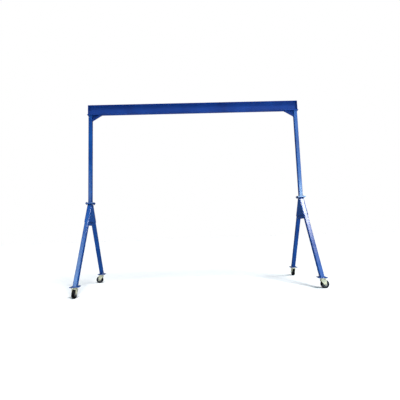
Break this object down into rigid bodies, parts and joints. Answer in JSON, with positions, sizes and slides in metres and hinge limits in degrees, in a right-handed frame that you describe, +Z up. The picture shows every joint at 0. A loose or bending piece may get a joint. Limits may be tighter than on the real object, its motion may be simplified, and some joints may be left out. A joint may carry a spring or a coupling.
{
  "type": "portable gantry crane",
  "caption": "Portable gantry crane: a steel I-beam runway on two square-tube A-frames that roll on swivel casters.",
  "frame": {"origin": "on the floor under the middle of the beam", "axes": "+X along the beam to the right, +Y from the front legs to the rear legs, +Z up"},
  "size_m": [4.7214, 1.8404, 3.9065],
  "materials": {
    "blue_paint": "gloss blue enamel over mill steel",
    "zinc_plate": "pressed steel with pale yellow zinc plating",
    "plated_fastener": "zinc plated",
    "bearing_steel": "ground and hardened",
    "tyre_rubber": "moulded, slightly glossy",
    "wheel_casting": "cast, dark grey paint"
  },
  "bodies": {
    "frame": {"i_beam": "blue_paint", "end_plate_left": "blue_paint", "saddle_plate_left": "blue_paint", "knee_plate_left": "blue_paint", "knee_web_left": "blue_paint", "upper_post_left": "blue_paint", "post_flange_left": "blue_paint", "leg_head_flange_left": "blue_paint", "gusset_inner_left": "blue_paint", "gusset_outer_left": "blue_paint", "cross_tube_left": "blue_paint", "leg_front_left": "blue_paint", "leg_rear_left": "blue_paint", "end_plate_right": "blue_paint", "saddle_plate_right": "blue_paint", "knee_plate_right": "blue_paint", "knee_web_right": "blue_paint", "upper_post_right": "blue_paint", "post_flange_right": "blue_paint", "leg_head_flange_right": "blue_paint", "gusset_inner_right": "blue_paint", "gusset_outer_right": "blue_paint", "cross_tube_right": "blue_paint", "leg_front_right": "blue_paint", "leg_rear_right": "blue_paint", "foot_plate_front_left": "blue_paint", "foot_plate_rear_left": "blue_paint", "foot_plate_front_right": "blue_paint", "foot_plate_rear_right": "blue_paint", "caster_plate_front_left": "zinc_plate", "kingpin_front_left": "plated_fastener", "caster_plate_rear_left": "zinc_plate", "kingpin_rear_left": "plated_fastener", "caster_plate_front_right": "zinc_plate", "kingpin_front_right": "plated_fastener", "caster_plate_rear_right": "zinc_plate", "kingpin_rear_right": "plated_fastener", "beam_clamp_bolts": "blue_paint", "post_joint_bolts": "plated_fastener", "caster_plate_bolts": "plated_fastener"},
    "swivel_front_left": {"fork_front_left": "zinc_plate", "swivel_balls_front_left": "bearing_steel", "axle_front_left": "plated_fastener"},
    "wheel_front_left": {"tyre_front_left": "tyre_rubber", "wheel_core_front_left": "wheel_casting"},
    "swivel_rear_left": {"fork_rear_left": "zinc_plate", "swivel_balls_rear_left": "bearing_steel", "axle_rear_left": "plated_fastener"},
    "wheel_rear_left": {"tyre_rear_left": "tyre_rubber", "wheel_core_rear_left": "wheel_casting"},
    "swivel_front_right": {"fork_front_right": "zinc_plate", "swivel_balls_front_right": "bearing_steel", "axle_front_right": "plated_fastener"},
    "wheel_front_right": {"tyre_front_right": "tyre_rubber", "wheel_core_front_right": "wheel_casting"},
    "swivel_rear_right": {"fork_rear_right": "zinc_plate", "swivel_balls_rear_right": "bearing_steel", "axle_rear_right": "plated_fastener"},
    "wheel_rear_right": {"tyre_rear_right": "tyre_rubber", "wheel_core_rear_right": "wheel_casting"}
  },
  "joints": [
    {"name": "swivel_front_left", "type": "hinge", "parent": "frame", "child": "swivel_front_left", "pos_m": [-2.2405, -0.8, 0.1668], "axis": [0, 0, 1], "continuous": true},
    {"name": "roll_front_left", "type": "hinge", "parent": "swivel_front_left", "child": "wheel_front_left", "pos_m": [-2.2405, -0.844, 0.0762], "axis": [1, 0, 0], "continuous": true},
    {"name": "swivel_rear_left", "type": "hinge", "parent": "frame", "child": "swivel_rear_left", "pos_m": [-2.2405, 0.8, 0.1668], "axis": [0, 0, 1], "continuous": true},
    {"name": "roll_rear_left", "type": "hinge", "parent": "swivel_rear_left", "child": "wheel_rear_left", "pos_m": [-2.2845, 0.8, 0.0762], "axis": [0, -1, 0], "continuous": true},
    {"name": "swivel_front_right", "type": "hinge", "parent": "frame", "child": "swivel_front_right", "pos_m": [2.2405, -0.8, 0.1668], "axis": [0, 0, 1], "continuous": true},
    {"name": "roll_front_right", "type": "hinge", "parent": "swivel_front_right", "child": "wheel_front_right", "pos_m": [2.2845, -0.8, 0.0762], "axis": [0, 1, 0], "continuous": true},
    {"name": "swivel_rear_right", "type": "hinge", "parent": "frame", "child": "swivel_rear_right", "pos_m": [2.2405, 0.8, 0.1668], "axis": [0, 0, 1], "continuous": true},
    {"name": "roll_rear_right", "type": "hinge", "parent": "swivel_rear_right", "child": "wheel_rear_right", "pos_m": [2.2405, 0.844, 0.0762], "axis": [-1, 0, 0], "continuous": true}
  ]
}
